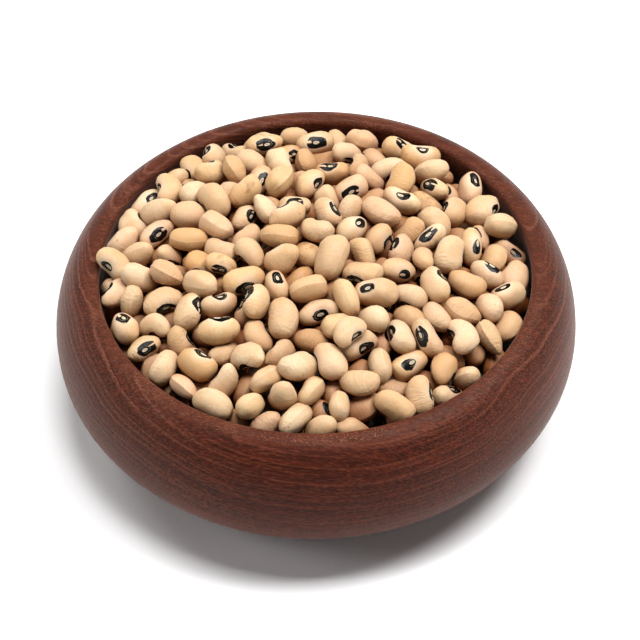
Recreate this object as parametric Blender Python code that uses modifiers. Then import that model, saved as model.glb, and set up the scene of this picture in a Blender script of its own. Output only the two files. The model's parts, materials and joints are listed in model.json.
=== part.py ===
"""A bowl of dried black-eyed beans. Metres, +Z up, origin at the middle of the bowl's foot.

The bowl is one turned piece of wood with an incurved rim. The beans are one solid: a core that
fills the bowl, with the beans that show fused on where they lie. lay_beans works out where that
is: it lowers every bean a little at a time and eases apart those that press on each other, on
the bowl or on the bed of beans below.
"""

import math

import bmesh
import bpy
import numpy as np
from mathutils import Matrix

# The bowl, from its foot up, and its hollow
FOOT_RADIUS = 0.031
FOOT_EDGE = 0.0008
BELLY_RADIUS = 0.065
BELLY_HEIGHT = 0.0235
BOWL_HEIGHT = 0.042
MOUTH_RADIUS = 0.0532
RIM_ROUNDING = 0.0014
HOLLOW_RADIUS = 0.0560
HOLLOW_FLOOR = 0.0080
HOLLOW_FLOOR_RADIUS = 0.034
SHOULDER_POWER = 1.9
UNDERSIDE_POWER = 2.15
HOLLOW_POWER = 2.0
SIDE_STEPS = 7
RIM_STEPS = 4
TURNED_STEPS = 48

# The beans. Width is a share of length, and thickness a share of width
BEAN_COUNT = 480
BEAN_LENGTH = 0.0093
LENGTH_SPREAD = 0.00072
LENGTH_RANGE = (0.0078, 0.0110)
WIDTH_SHARE = 0.69
WIDTH_SPREAD = 0.035
WIDTH_RANGE = (0.60, 0.78)
THICKNESS_SHARE = 0.86
THICKNESS_SPREAD = 0.04
THICKNESS_RANGE = (0.76, 0.95)
SEED = 54

# The bed that the beans are laid on, at the bowl's side and in the middle. The heap leans: it
# falls a little to the right and to the back, in metres for each metre
BED_EDGE = 0.0245
BED_MIDDLE = 0.0355
LEAN_RIGHT = -0.006
LEAN_BACK = -0.008
WALL_GAP = 0.0005
RIM_OVERHANG = 0.0010

# The core that the beans that show are fused to. These beans have few sides, so they are made
# a little larger to hold as much as round ones, and they are pressed together so that all join
CORE_EDGE = 0.0360
CORE_MIDDLE = 0.0466
CORE_RINGS = 5
SHOWN_DEPTH = 0.0012
BEAN_SIDES = 6
BEAN_RINGS = 4
FEW_SIDES_GROWTH = (1.07, 1.10, 1.10)
PRESSED_SHARE = 0.87
CLEARANCE = 0.0003


def clear_scene():
    for obj in list(bpy.data.objects):
        bpy.data.objects.remove(obj, do_unlink=True)


def new_collection(name):
    made = bpy.data.collections.new(name)
    bpy.context.scene.collection.children.link(made)
    return made


def material(name, colour, roughness):
    made = bpy.data.materials.new(name)
    made.use_nodes = True
    shader = made.node_tree.nodes["Principled BSDF"]
    shader.inputs["Base Color"].default_value = (*colour, 1.0)
    shader.inputs["Roughness"].default_value = roughness
    shader.inputs["Metallic"].default_value = 0.0
    return made


def quarter(start, end, power, steps):
    """A superellipse quarter that is level at start and upright at end."""
    turns = [math.pi / 2 * step / steps for step in range(steps + 1)]
    return [
        (
            start[0] + (end[0] - start[0]) * math.sin(turn) ** (2 / power),
            end[1] + (start[1] - end[1]) * math.cos(turn) ** (2 / power),
        )
        for turn in turns
    ]


def hollow_side(gap=0.0):
    """The inner side from the middle of the hollow's floor to the neck, moved inwards by gap."""
    floor = (HOLLOW_FLOOR_RADIUS - gap, HOLLOW_FLOOR + gap)
    widest = (HOLLOW_RADIUS - gap, BELLY_HEIGHT)
    neck = (MOUTH_RADIUS - gap, BOWL_HEIGHT - RIM_ROUNDING)
    return [(0.0, floor[1]), *quarter(floor, widest, HOLLOW_POWER, SIDE_STEPS), neck]


def rim_rounding():
    """The small arc from the neck up to the top of the rim, its first point left out."""
    centre = (MOUTH_RADIUS + RIM_ROUNDING, BOWL_HEIGHT - RIM_ROUNDING)
    turns = [math.pi - math.pi / 2 * step / RIM_STEPS for step in range(1, RIM_STEPS + 1)]
    return [
        (centre[0] + RIM_ROUNDING * math.cos(turn), centre[1] + RIM_ROUNDING * math.sin(turn))
        for turn in turns
    ]


def underside():
    """From the belly down to the foot's edge, its first point left out."""
    edge = (FOOT_RADIUS + FOOT_EDGE, FOOT_EDGE)
    rising = quarter(edge, (BELLY_RADIUS, BELLY_HEIGHT), UNDERSIDE_POWER, SIDE_STEPS)
    return rising[-2::-1]


def bowl_profile():
    """From the middle of the hollow's floor, up the inside, over the rim and down to the foot."""
    rim = rim_rounding()
    belly = (BELLY_RADIUS, BELLY_HEIGHT)
    shoulder = quarter(rim[-1], belly, SHOULDER_POWER, SIDE_STEPS)
    foot = [(FOOT_RADIUS, 0.0), (0.0, 0.0)]
    return hollow_side() + rim + shoulder[1:] + underside() + foot


def turned_solid(name, profile, collection):
    """A profile of radii and heights turned about Z. Both of its ends lie on the axis."""
    mesh = bpy.data.meshes.new(name)
    edges = [(point, point + 1) for point in range(len(profile) - 1)]
    mesh.from_pydata([(radius, 0.0, height) for radius, height in profile], edges, [])
    obj = bpy.data.objects.new(name, mesh)
    collection.objects.link(obj)
    screw = obj.modifiers.new("turned", "SCREW")
    screw.axis = "Z"
    screw.steps = screw.render_steps = TURNED_STEPS
    screw.use_merge_vertices = True
    screw.merge_threshold = 0.00001
    screw.use_smooth_shade = True
    return obj


def make_bowl(collection):
    bowl = turned_solid("bowl", bowl_profile(), collection)
    bowl.data.materials.append(material("bowl_wood", (0.115, 0.040, 0.026), 0.42))


# Balls that stand for a bean while it is laid: place along its length and across its width, as
# shares of those sizes, and radius, as a share of its thickness
BALLS = np.array(
    [
        (0.00, 0.085, 0.500),
        (0.00, -0.055, 0.490),
        (0.17, 0.070, 0.490),
        (0.17, -0.085, 0.475),
        (-0.17, 0.070, 0.490),
        (-0.17, -0.085, 0.475),
        (0.29, -0.015, 0.380),
        (-0.29, -0.015, 0.380),
    ]
)
UP = np.array([0.0, 0.0, 1.0])

# How the beans are scattered before they are lowered
LAYERS = 3
LAYER_RISE = 0.0075
START_RISE = 0.004
START_SHIFT = 0.0006
START_LIFT = 0.001
START_PITCH = 0.35

# How they are lowered and eased apart, pass by pass
PASSES = 260
LAST_PASSES = 60
STEP_DOWN = 0.00012
LAST_STEP_DOWN = 0.00003
EASING_ROUNDS = 2
NEIGHBOURS_EVERY = 6
NEIGHBOUR_REACH = 0.0003
SHARING_POWER = 0.6
TURN_GAIN = 1.6
MOST_TURN = 0.12
DECIMALS = 9


def dome(place, edge, middle):
    """Height of the leaning dome over the mouth, at a place or at many."""
    out = (place[..., 0] ** 2 + place[..., 1] ** 2) / MOUTH_RADIUS**2
    lean = place[..., 0] * LEAN_RIGHT + place[..., 1] * LEAN_BACK
    return edge + (middle - edge) * (1 - out) + lean


def bean_sizes(draw):
    """Length, width and thickness of every bean."""
    length = np.clip(draw.normal(BEAN_LENGTH, LENGTH_SPREAD, BEAN_COUNT), *LENGTH_RANGE)
    width = length * np.clip(draw.normal(WIDTH_SHARE, WIDTH_SPREAD, BEAN_COUNT), *WIDTH_RANGE)
    share = draw.normal(THICKNESS_SHARE, THICKNESS_SPREAD, BEAN_COUNT)
    return np.stack([length, width, width * np.clip(share, *THICKNESS_RANGE)], 1)


def axes_from_angles(heading, pitch, roll):
    """A 3 by 3 matrix for each bean. Its columns point along, across and through the bean."""
    ch, sh = np.cos(heading), np.sin(heading)
    cp, sp = np.cos(pitch), np.sin(pitch)
    cr, sr = np.cos(roll), np.sin(roll)
    along = np.stack([ch * cp, sh * cp, -sp], 1)
    across = np.stack([ch * sp * sr - sh * cr, sh * sp * sr + ch * cr, cp * sr], 1)
    return np.stack([along, across, np.cross(along, across)], 2)


def turned_axes(axes, spin):
    """The axes after a small turn about the vector spin, made square again."""
    along = axes[:, :, 0] + np.cross(spin, axes[:, :, 0])
    across = axes[:, :, 1] + np.cross(spin, axes[:, :, 1])
    along /= np.sqrt((along**2).sum(1, keepdims=True))
    across -= along * (along * across).sum(1, keepdims=True)
    across /= np.sqrt((across**2).sum(1, keepdims=True))
    return np.stack([along, across, np.cross(along, across)], 2)


def first_places(draw):
    """Beans on flat spirals, one above the other, each turned at random."""
    in_layer = math.ceil(BEAN_COUNT / LAYERS)
    layer, place = np.divmod(np.arange(BEAN_COUNT), in_layer)
    radius = (MOUTH_RADIUS - BEAN_LENGTH / 2) * np.sqrt((place + 0.5) / in_layer)
    angle = place * math.pi * (3 - math.sqrt(5)) + layer
    centres = np.stack([radius * np.cos(angle), radius * np.sin(angle), 0 * radius], 1)
    centres[:, :2] += draw.normal(0, START_SHIFT, (BEAN_COUNT, 2))
    bed = dome(centres, BED_EDGE, BED_MIDDLE)
    lift = draw.uniform(-START_LIFT, START_LIFT, BEAN_COUNT)
    centres[:, 2] = bed + START_RISE + layer * LAYER_RISE + lift
    axes = axes_from_angles(
        draw.uniform(0, 2 * math.pi, BEAN_COUNT),
        draw.normal(0, START_PITCH, BEAN_COUNT),
        draw.uniform(0, 2 * math.pi, BEAN_COUNT),
    )
    return centres, axes


def near_pairs(centres, reach):
    """Pairs of beans near enough to touch."""
    apart = ((centres[:, None] - centres[None]) ** 2).sum(2)
    return np.nonzero(np.triu(apart < (reach[:, None] + reach[None]) ** 2, 1))


def pushes_between(balls, radii, pairs):
    """Half of each overlap between two beans' balls, as a push on each: bean, place, push."""
    first, second = pairs
    apart = balls[first][:, :, None] - balls[second][:, None]
    distance = np.sqrt((apart**2).sum(3))
    overlap = radii[first][:, :, None] + radii[second][:, None] - distance
    pair, a, b = np.nonzero(overlap > 0)
    away = apart[pair, a, b] / distance[pair, a, b][:, None]
    push = away * (overlap[pair, a, b] / 2)[:, None]
    bean = np.concatenate([first[pair], second[pair]])
    place = np.concatenate([balls[first[pair], a], balls[second[pair], b]])
    return bean, place, np.concatenate([push, -push])


def pushes_from_bowl(balls, radii):
    """The same for balls that reach into the mouth's side, the rounded rim or the bed."""
    radius = np.hypot(balls[:, :, 0], balls[:, :, 1])
    height = balls[:, :, 2]
    outwards = balls / radius[:, :, None]
    outwards[:, :, 2] = 0
    neck = BOWL_HEIGHT - RIM_ROUNDING
    past_mouth = radius + radii + WALL_GAP - MOUTH_RADIUS
    in_side = np.where(height < neck, past_mouth, past_mouth - RIM_OVERHANG)
    from_rim = np.stack([radius - MOUTH_RADIUS - RIM_ROUNDING, height - neck], 2)
    distance = np.sqrt((from_rim**2).sum(2))
    in_rim = np.where(height < neck, 0, radii + RIM_ROUNDING + WALL_GAP - distance)
    off_rim = from_rim / distance[:, :, None]
    off_rim = outwards * off_rim[:, :, :1] + UP * off_rim[:, :, 1:]
    in_bed = dome(balls, BED_EDGE, BED_MIDDLE) + radii - height
    found = []
    for depth, way in ((in_side, -outwards), (in_rim, off_rim), (in_bed, UP + 0 * balls)):
        bean, ball = np.nonzero(depth > 0)
        push = way[bean, ball] * depth[bean, ball][:, None]
        found.append((bean, balls[bean, ball], push))
    return [np.concatenate(parts) for parts in zip(*found)]


def summed(bean, vectors):
    """The vectors added up for each bean."""
    return np.stack([np.bincount(bean, vectors[:, k], BEAN_COUNT) for k in range(3)], 1)


def lay_beans(draw):
    """Centres, axes and sizes of the laid beans. The rounding makes every run end alike."""
    sizes = bean_sizes(draw)
    centres, axes = first_places(draw)
    offsets = np.zeros((BEAN_COUNT, len(BALLS), 3))
    offsets[:, :, :2] = BALLS[:, :2] * sizes[:, None, :2]
    radii = BALLS[:, 2] * sizes[:, 2:]
    ball_share = 0.4 * (radii**2).sum(1)
    about = (offsets**2).sum(1)[:, [1, 0]] + ball_share[:, None]
    resistance = np.column_stack([about, about.sum(1) - ball_share])
    reach = sizes[:, 0] / 2 + NEIGHBOUR_REACH
    for number in range(PASSES):
        if number % NEIGHBOURS_EVERY == 0:
            pairs = near_pairs(centres, reach)
        centres[:, 2] -= STEP_DOWN if number < PASSES - LAST_PASSES else LAST_STEP_DOWN
        for _ in range(EASING_ROUNDS):
            balls = centres[:, None] + np.einsum("nij,nkj->nki", axes, offsets)
            found = zip(pushes_between(balls, radii, pairs), pushes_from_bowl(balls, radii))
            bean, place, push = [np.concatenate(parts) for parts in found]
            touches = np.maximum(np.bincount(bean, minlength=BEAN_COUNT), 1)[:, None]
            share = touches**-SHARING_POWER
            twist = summed(bean, np.cross(place - centres[bean], push))
            spin = np.einsum("nji,nj->ni", axes, twist) / resistance
            spin = np.einsum("nij,nj->ni", axes, spin) * TURN_GAIN
            angle = np.sqrt((spin**2).sum(1, keepdims=True))
            spin *= share * np.minimum(1, MOST_TURN / np.maximum(angle, MOST_TURN / 1e6))
            centres = np.round(centres + summed(bean, push) * share, DECIMALS)
            axes = np.round(turned_axes(axes, spin), DECIMALS)
    return centres, axes, sizes


# The shape of one bean, in shares of half its sizes
BEAN_FULLNESS = 0.84
BEAN_BOW = 0.13
BEAN_SHIFT = 0.04
NOTCH_DEPTH = 0.16
NOTCH_HALF_LENGTH = 0.34


def bean_point(along, across, through):
    """A point of the unit ball moved onto a bean one unit long, wide and thick."""
    ring = math.sqrt(max(1 - along**2, 0.0))
    fuller = ring**BEAN_FULLNESS / ring if ring else 0.0
    side = across * fuller
    notch = NOTCH_DEPTH * math.exp(-((along / NOTCH_HALF_LENGTH) ** 2)) * min(side, 0.0) ** 2
    bent = side + notch - BEAN_BOW * along**2 + BEAN_SHIFT
    return along / 2, bent / 2, through * fuller / 2


def bean_mesh():
    """A bean of unit sizes with few sides. Its length lies along X and its eye faces -Y."""
    shape = bmesh.new()
    bmesh.ops.create_uvsphere(shape, u_segments=BEAN_SIDES, v_segments=BEAN_RINGS, radius=1)
    for vert in shape.verts:
        vert.co = bean_point(vert.co.z, vert.co.y, -vert.co.x)
    mesh = bpy.data.meshes.new("bean")
    shape.to_mesh(mesh)
    shape.free()
    return mesh


def make_core(collection):
    """What the beans that show lie on. It is turned with a level top, which then takes its dome."""
    radii = [MOUTH_RADIUS * ring / CORE_RINGS for ring in range(CORE_RINGS)]
    top = [(radius, CORE_EDGE) for radius in (*radii, MOUTH_RADIUS - CLEARANCE)]
    side = hollow_side(CLEARANCE)[:-1]
    core = turned_solid("beans", top + side[::-1], collection)
    graph = bpy.context.evaluated_depsgraph_get()
    core.data = bpy.data.meshes.new_from_object(core.evaluated_get(graph))
    core.modifiers.clear()
    for vert in core.data.vertices:
        if vert.co.z > BELLY_HEIGHT + CLEARANCE:
            vert.co.z = dome(np.array(vert.co), CORE_EDGE, CORE_MIDDLE)
    return core


def clear_of_bowl(centre, corners):
    """The bean's centre, moved towards the axis where a corner would touch the mouth or rim."""
    at = corners + centre
    past = np.hypot(at[:, 0], at[:, 1]) + CLEARANCE - MOUTH_RADIUS
    past = past[at[:, 2] < BOWL_HEIGHT + CLEARANCE].max(initial=0)
    outwards = np.array([*centre[:2], 0.0]) / math.hypot(*centre[:2])
    return centre - outwards * past


def add_shown_beans(collection):
    """The beans that stand out of the core, each a copy of one mesh."""
    mesh = bean_mesh()
    corners = np.array([vert.co[:] for vert in mesh.vertices])
    centres, axes, sizes = lay_beans(np.random.default_rng(SEED))
    core = dome(centres, CORE_EDGE, CORE_MIDDLE)
    for number in np.nonzero(centres[:, 2] > core - SHOWN_DEPTH)[0]:
        centre = centres[number].copy()
        centre[2] = core[number] + (centre[2] - core[number]) * PRESSED_SHARE
        turned = axes[number] * (sizes[number] * FEW_SIDES_GROWTH)
        matrix = Matrix(turned.tolist()).to_4x4()
        matrix.translation = clear_of_bowl(centre, corners @ turned.T).tolist()
        bean = bpy.data.objects.new("laid_bean", mesh)
        collection.objects.link(bean)
        bean.matrix_world = matrix


def join_to(obj, collection):
    """One Boolean union of obj with all that a collection holds, applied."""
    union = obj.modifiers.new("joined", "BOOLEAN")
    union.operation = "UNION"
    union.solver = "EXACT"
    union.operand_type = "COLLECTION"
    union.collection = collection
    graph = bpy.context.evaluated_depsgraph_get()
    obj.data = bpy.data.meshes.new_from_object(obj.evaluated_get(graph))
    obj.modifiers.clear()
    for other in list(collection.objects):
        bpy.data.objects.remove(other, do_unlink=True)


def shell_of(start, faces):
    """Takes the faces that hang together with start out of faces, and gives them."""
    shell, edge = [start], [start]
    while edge:
        face = edge.pop()
        beside = {other for side in face.edges for other in side.link_faces} & faces
        faces -= beside
        shell.extend(beside)
        edge.extend(beside)
    return shell


def keep_outer_shell(mesh):
    """Fills the pockets that the beans close in, and drops any bean that nothing joins."""
    shape = bmesh.new()
    shape.from_mesh(mesh)
    faces = set(shape.faces)
    shells = []
    while faces:
        shells.append(shell_of(faces.pop(), faces))
    shells.sort(key=len)
    others = [face for shell in shells[:-1] for face in shell]
    bmesh.ops.delete(shape, geom=others, context="FACES")
    shape.to_mesh(mesh)
    shape.free()


def make_beans(parts, laid):
    """The heap: the core with the beans that show fused on."""
    beans = make_core(parts)
    add_shown_beans(laid)
    join_to(beans, laid)
    keep_outer_shell(beans.data)
    beans.data.materials.clear()
    beans.data.materials.append(material("dried_beans", (0.68, 0.49, 0.30), 0.45))


def main():
    clear_scene()
    parts = new_collection("bowl_of_beans")
    laid = new_collection("laid_beans")
    make_bowl(parts)
    make_beans(parts, laid)


main()
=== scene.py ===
"""A bowl of dried black-eyed beans, dressed for the camera. Metres, +Z up."""

import json
import math

import bmesh
import bpy
import numpy as np
from mathutils import Matrix, Vector, noise

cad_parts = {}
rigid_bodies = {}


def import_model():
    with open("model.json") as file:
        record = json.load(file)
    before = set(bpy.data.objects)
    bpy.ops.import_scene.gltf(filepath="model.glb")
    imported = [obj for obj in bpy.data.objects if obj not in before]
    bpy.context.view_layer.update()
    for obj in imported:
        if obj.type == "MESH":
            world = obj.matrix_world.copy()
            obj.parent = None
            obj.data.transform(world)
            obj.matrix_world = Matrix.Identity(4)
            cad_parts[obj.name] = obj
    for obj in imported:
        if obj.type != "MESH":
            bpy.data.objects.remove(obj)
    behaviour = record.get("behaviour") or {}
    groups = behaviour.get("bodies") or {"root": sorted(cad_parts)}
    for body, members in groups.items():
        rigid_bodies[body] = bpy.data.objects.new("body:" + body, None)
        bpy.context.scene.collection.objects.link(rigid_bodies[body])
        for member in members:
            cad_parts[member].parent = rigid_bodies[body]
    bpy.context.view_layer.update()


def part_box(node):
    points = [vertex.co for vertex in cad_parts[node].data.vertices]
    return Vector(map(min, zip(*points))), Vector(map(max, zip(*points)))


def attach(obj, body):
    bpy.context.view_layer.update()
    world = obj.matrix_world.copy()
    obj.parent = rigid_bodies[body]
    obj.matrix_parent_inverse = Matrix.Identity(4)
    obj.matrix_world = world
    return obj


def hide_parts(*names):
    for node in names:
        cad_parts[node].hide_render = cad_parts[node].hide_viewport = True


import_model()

# The bowl: one block of dark red-brown hardwood, turned on a lathe to a bulging side and an
# incurved mouth with a narrow rounded rim, then sanded and oiled to a satin finish. It stands
# on its own flat foot, and nothing is fixed to it.

bowl_low, bowl_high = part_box("bowl")
BOWL_HEIGHT = bowl_high[2]
BELLY_RADIUS = (bowl_high[0] - bowl_low[0]) / 2
BELLY_HEIGHT = 0.0235
MOUTH_RADIUS = 0.0532
RIM_ROUNDING = 0.0014
FOOT_RADIUS = 0.031
FOOT_EDGE = 0.0008
HOLLOW_RADIUS = 0.0560
HOLLOW_FLOOR = 0.0080
HOLLOW_FLOOR_RADIUS = 0.034
SHOULDER_POWER = 1.9
UNDERSIDE_POWER = 2.15
HOLLOW_POWER = 2.0
SIDE_STEPS = 26
RIM_STEPS = 7
TURNED_STEPS = 144
HAND_WOBBLE = 0.00012
WOBBLES_PER_METRE = 45
MERGE_DISTANCE = 1e-7
SHARP_ANGLE = math.radians(40)


def quarter(start, end, power, steps):
    """A superellipse quarter that is level at start and upright at end."""
    turns = [math.pi / 2 * (step / steps) for step in range(steps + 1)]
    return [
        (
            start[0] + (end[0] - start[0]) * math.sin(turn) ** (2 / power),
            end[1] + (start[1] - end[1]) * math.cos(turn) ** (2 / power),
        )
        for turn in turns
    ]


def hollow_side(gap=0.0):
    """The inner side from the middle of the hollow's floor to the neck, moved inwards by gap."""
    floor = (HOLLOW_FLOOR_RADIUS - gap, HOLLOW_FLOOR + gap)
    widest = (HOLLOW_RADIUS - gap, BELLY_HEIGHT)
    neck = (MOUTH_RADIUS - gap, BOWL_HEIGHT - RIM_ROUNDING)
    rising = quarter(floor, widest, HOLLOW_POWER, SIDE_STEPS)
    middle = ((widest[0] + neck[0]) / 2, (widest[1] + neck[1]) / 2)
    return [(0.0, floor[1]), *rising, middle, neck]


def bowl_profile():
    """From the middle of the hollow's floor, up the inside, over the rim and down to the foot."""
    centre = (MOUTH_RADIUS + RIM_ROUNDING, BOWL_HEIGHT - RIM_ROUNDING)
    turns = [math.pi - math.pi / 2 * step / RIM_STEPS for step in range(1, RIM_STEPS + 1)]
    rim = [
        (centre[0] + RIM_ROUNDING * math.cos(turn), centre[1] + RIM_ROUNDING * math.sin(turn))
        for turn in turns
    ]
    belly = (BELLY_RADIUS, BELLY_HEIGHT)
    shoulder = quarter(rim[-1], belly, SHOULDER_POWER, SIDE_STEPS)
    foot_edge = (FOOT_RADIUS + FOOT_EDGE, FOOT_EDGE)
    underside = quarter(foot_edge, belly, UNDERSIDE_POWER, SIDE_STEPS)[-2::-1]
    foot = [(FOOT_RADIUS, 0.0), (0.0, 0.0)]
    return hollow_side() + rim + shoulder[1:] + underside + foot


def turned_piece(name, profile, wobble=0.0):
    """A profile turned about Z. wobble is how far a lathe-turned side strays from round."""
    shape = bmesh.new()
    points = [shape.verts.new((radius, 0.0, height)) for radius, height in profile]
    edges = [shape.edges.new(pair) for pair in zip(points, points[1:])]
    bmesh.ops.spin(
        shape,
        geom=points + edges,
        cent=(0, 0, 0),
        axis=(0, 0, 1),
        angle=2 * math.pi,
        steps=TURNED_STEPS,
        use_merge=True,
    )
    bmesh.ops.remove_doubles(shape, verts=shape.verts, dist=MERGE_DISTANCE)
    bmesh.ops.recalc_face_normals(shape, faces=shape.faces)
    for vert in shape.verts:
        stray = noise.noise(vert.co * WOBBLES_PER_METRE) * wobble * min(1, vert.co.z / BELLY_HEIGHT)
        vert.co.xy *= 1 - abs(stray) / BELLY_RADIUS
    mesh = bpy.data.meshes.new(name)
    shape.to_mesh(mesh)
    shape.free()
    mesh.shade_smooth()
    mesh.set_sharp_from_angle(angle=SHARP_ANGLE)
    piece = bpy.data.objects.new(name, mesh)
    bpy.context.scene.collection.objects.link(piece)
    return piece


def put(tree, kind, inputs=(), **settings):
    """A new node. inputs pairs sockets with a value each, or with the socket that feeds it."""
    made = tree.nodes.new(kind)
    for name, value in settings.items():
        setattr(made, name, value)
    for socket, value in dict(inputs).items():
        if isinstance(value, bpy.types.NodeSocket):
            tree.links.new(value, made.inputs[socket])
        else:
            made.inputs[socket].default_value = value
    return made


def calc(tree, operation, *values):
    """The result of one sum, from sockets or numbers."""
    return put(tree, "ShaderNodeMath", enumerate(values), operation=operation).outputs[0]


def fade(tree, value, start, end, at_start=0.0, at_end=1.0):
    """Goes smoothly from at_start to at_end while value goes from start to end."""
    inputs = enumerate((value, start, end, at_start, at_end))
    made = put(tree, "ShaderNodeMapRange", inputs, interpolation_type="SMOOTHSTEP")
    return made.outputs[0]


def tint(tree, share, under, over, mode="MIX"):
    """Colour over laid on colour under, by share."""
    inputs = {0: share, 6: under, 7: over}
    made = put(tree, "ShaderNodeMix", inputs, data_type="RGBA", blend_type=mode)
    return made.outputs[2]


def stretched(tree, place, scale):
    """Places scaled by a different number along each axis."""
    inputs = {0: place, 1: scale}
    return put(tree, "ShaderNodeVectorMath", inputs, operation="MULTIPLY").outputs[0]


def mottle(tree, place, scale, detail=2.0, roughness=0.5, w=None):
    """Noise from 0 to 1. w picks another pattern of the same kind."""
    inputs = {"Vector": place, "Scale": scale, "Detail": detail, "Roughness": roughness}
    if w is not None:
        inputs["W"] = w
    kind = "3D" if w is None else "4D"
    return put(tree, "ShaderNodeTexNoise", inputs, noise_dimensions=kind).outputs[0]


def colour(red, green, blue):
    """A colour as a screen shows it, from 0 to 255, as the shader wants it."""
    shown = (channel / 255 for channel in (red, green, blue))
    return (*(c / 12.92 if c < 0.04045 else ((c + 0.055) / 1.055) ** 2.4 for c in shown), 1.0)


WOOD_DARK = colour(43, 17, 8)
WOOD_MID = colour(72, 32, 18)
WOOD_PALE = colour(121, 74, 57)
WOOD_RED = colour(95, 37, 19)
WOOD_RIM_WEAR_AND_GLINT = colour(150, 92, 54)
# The tint of the painted shade on the front of the bowl
FRONT_SHADE_TINT = (0.86, 0.64, 0.50, 1.0)
BOARD_TILT = (math.radians(5), math.radians(-4), math.radians(8))
PITH_DEPTH = 0.150
PITH_ASIDE = 0.012
RING_SPACING = 0.0021

# How fine each pattern in the wood is, for each metre along the grain and across it
SWAY_GRAIN = (9, 26, 26)
JAGGED_GRAIN = (230, 500, 500)
BROKEN_GRAIN = (110, 420, 420)
STREAK_GRAIN = (42, 800, 800)
FIBRE_GRAIN = (170, 2600, 2600)
PORE_GRAIN = (640, 2900, 2900)
LINES_ALONG = 22.0
LINES_ACROSS = 1700.0
PATCHES_PER_METRE = 38.0
SPECKLES_PER_METRE = 2600.0
SCRATCHES_ROUND = 150.0
SCRATCHES_UPRIGHT = 240.0

# Where the scratches fade in, and the outer and lower edges of the rim's level top
SCRATCH_HEIGHTS = (0.027, 0.016)
RIM_RADII = (0.0580, 0.0560)
RIM_HEIGHTS = (0.0400, 0.0412)


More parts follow.
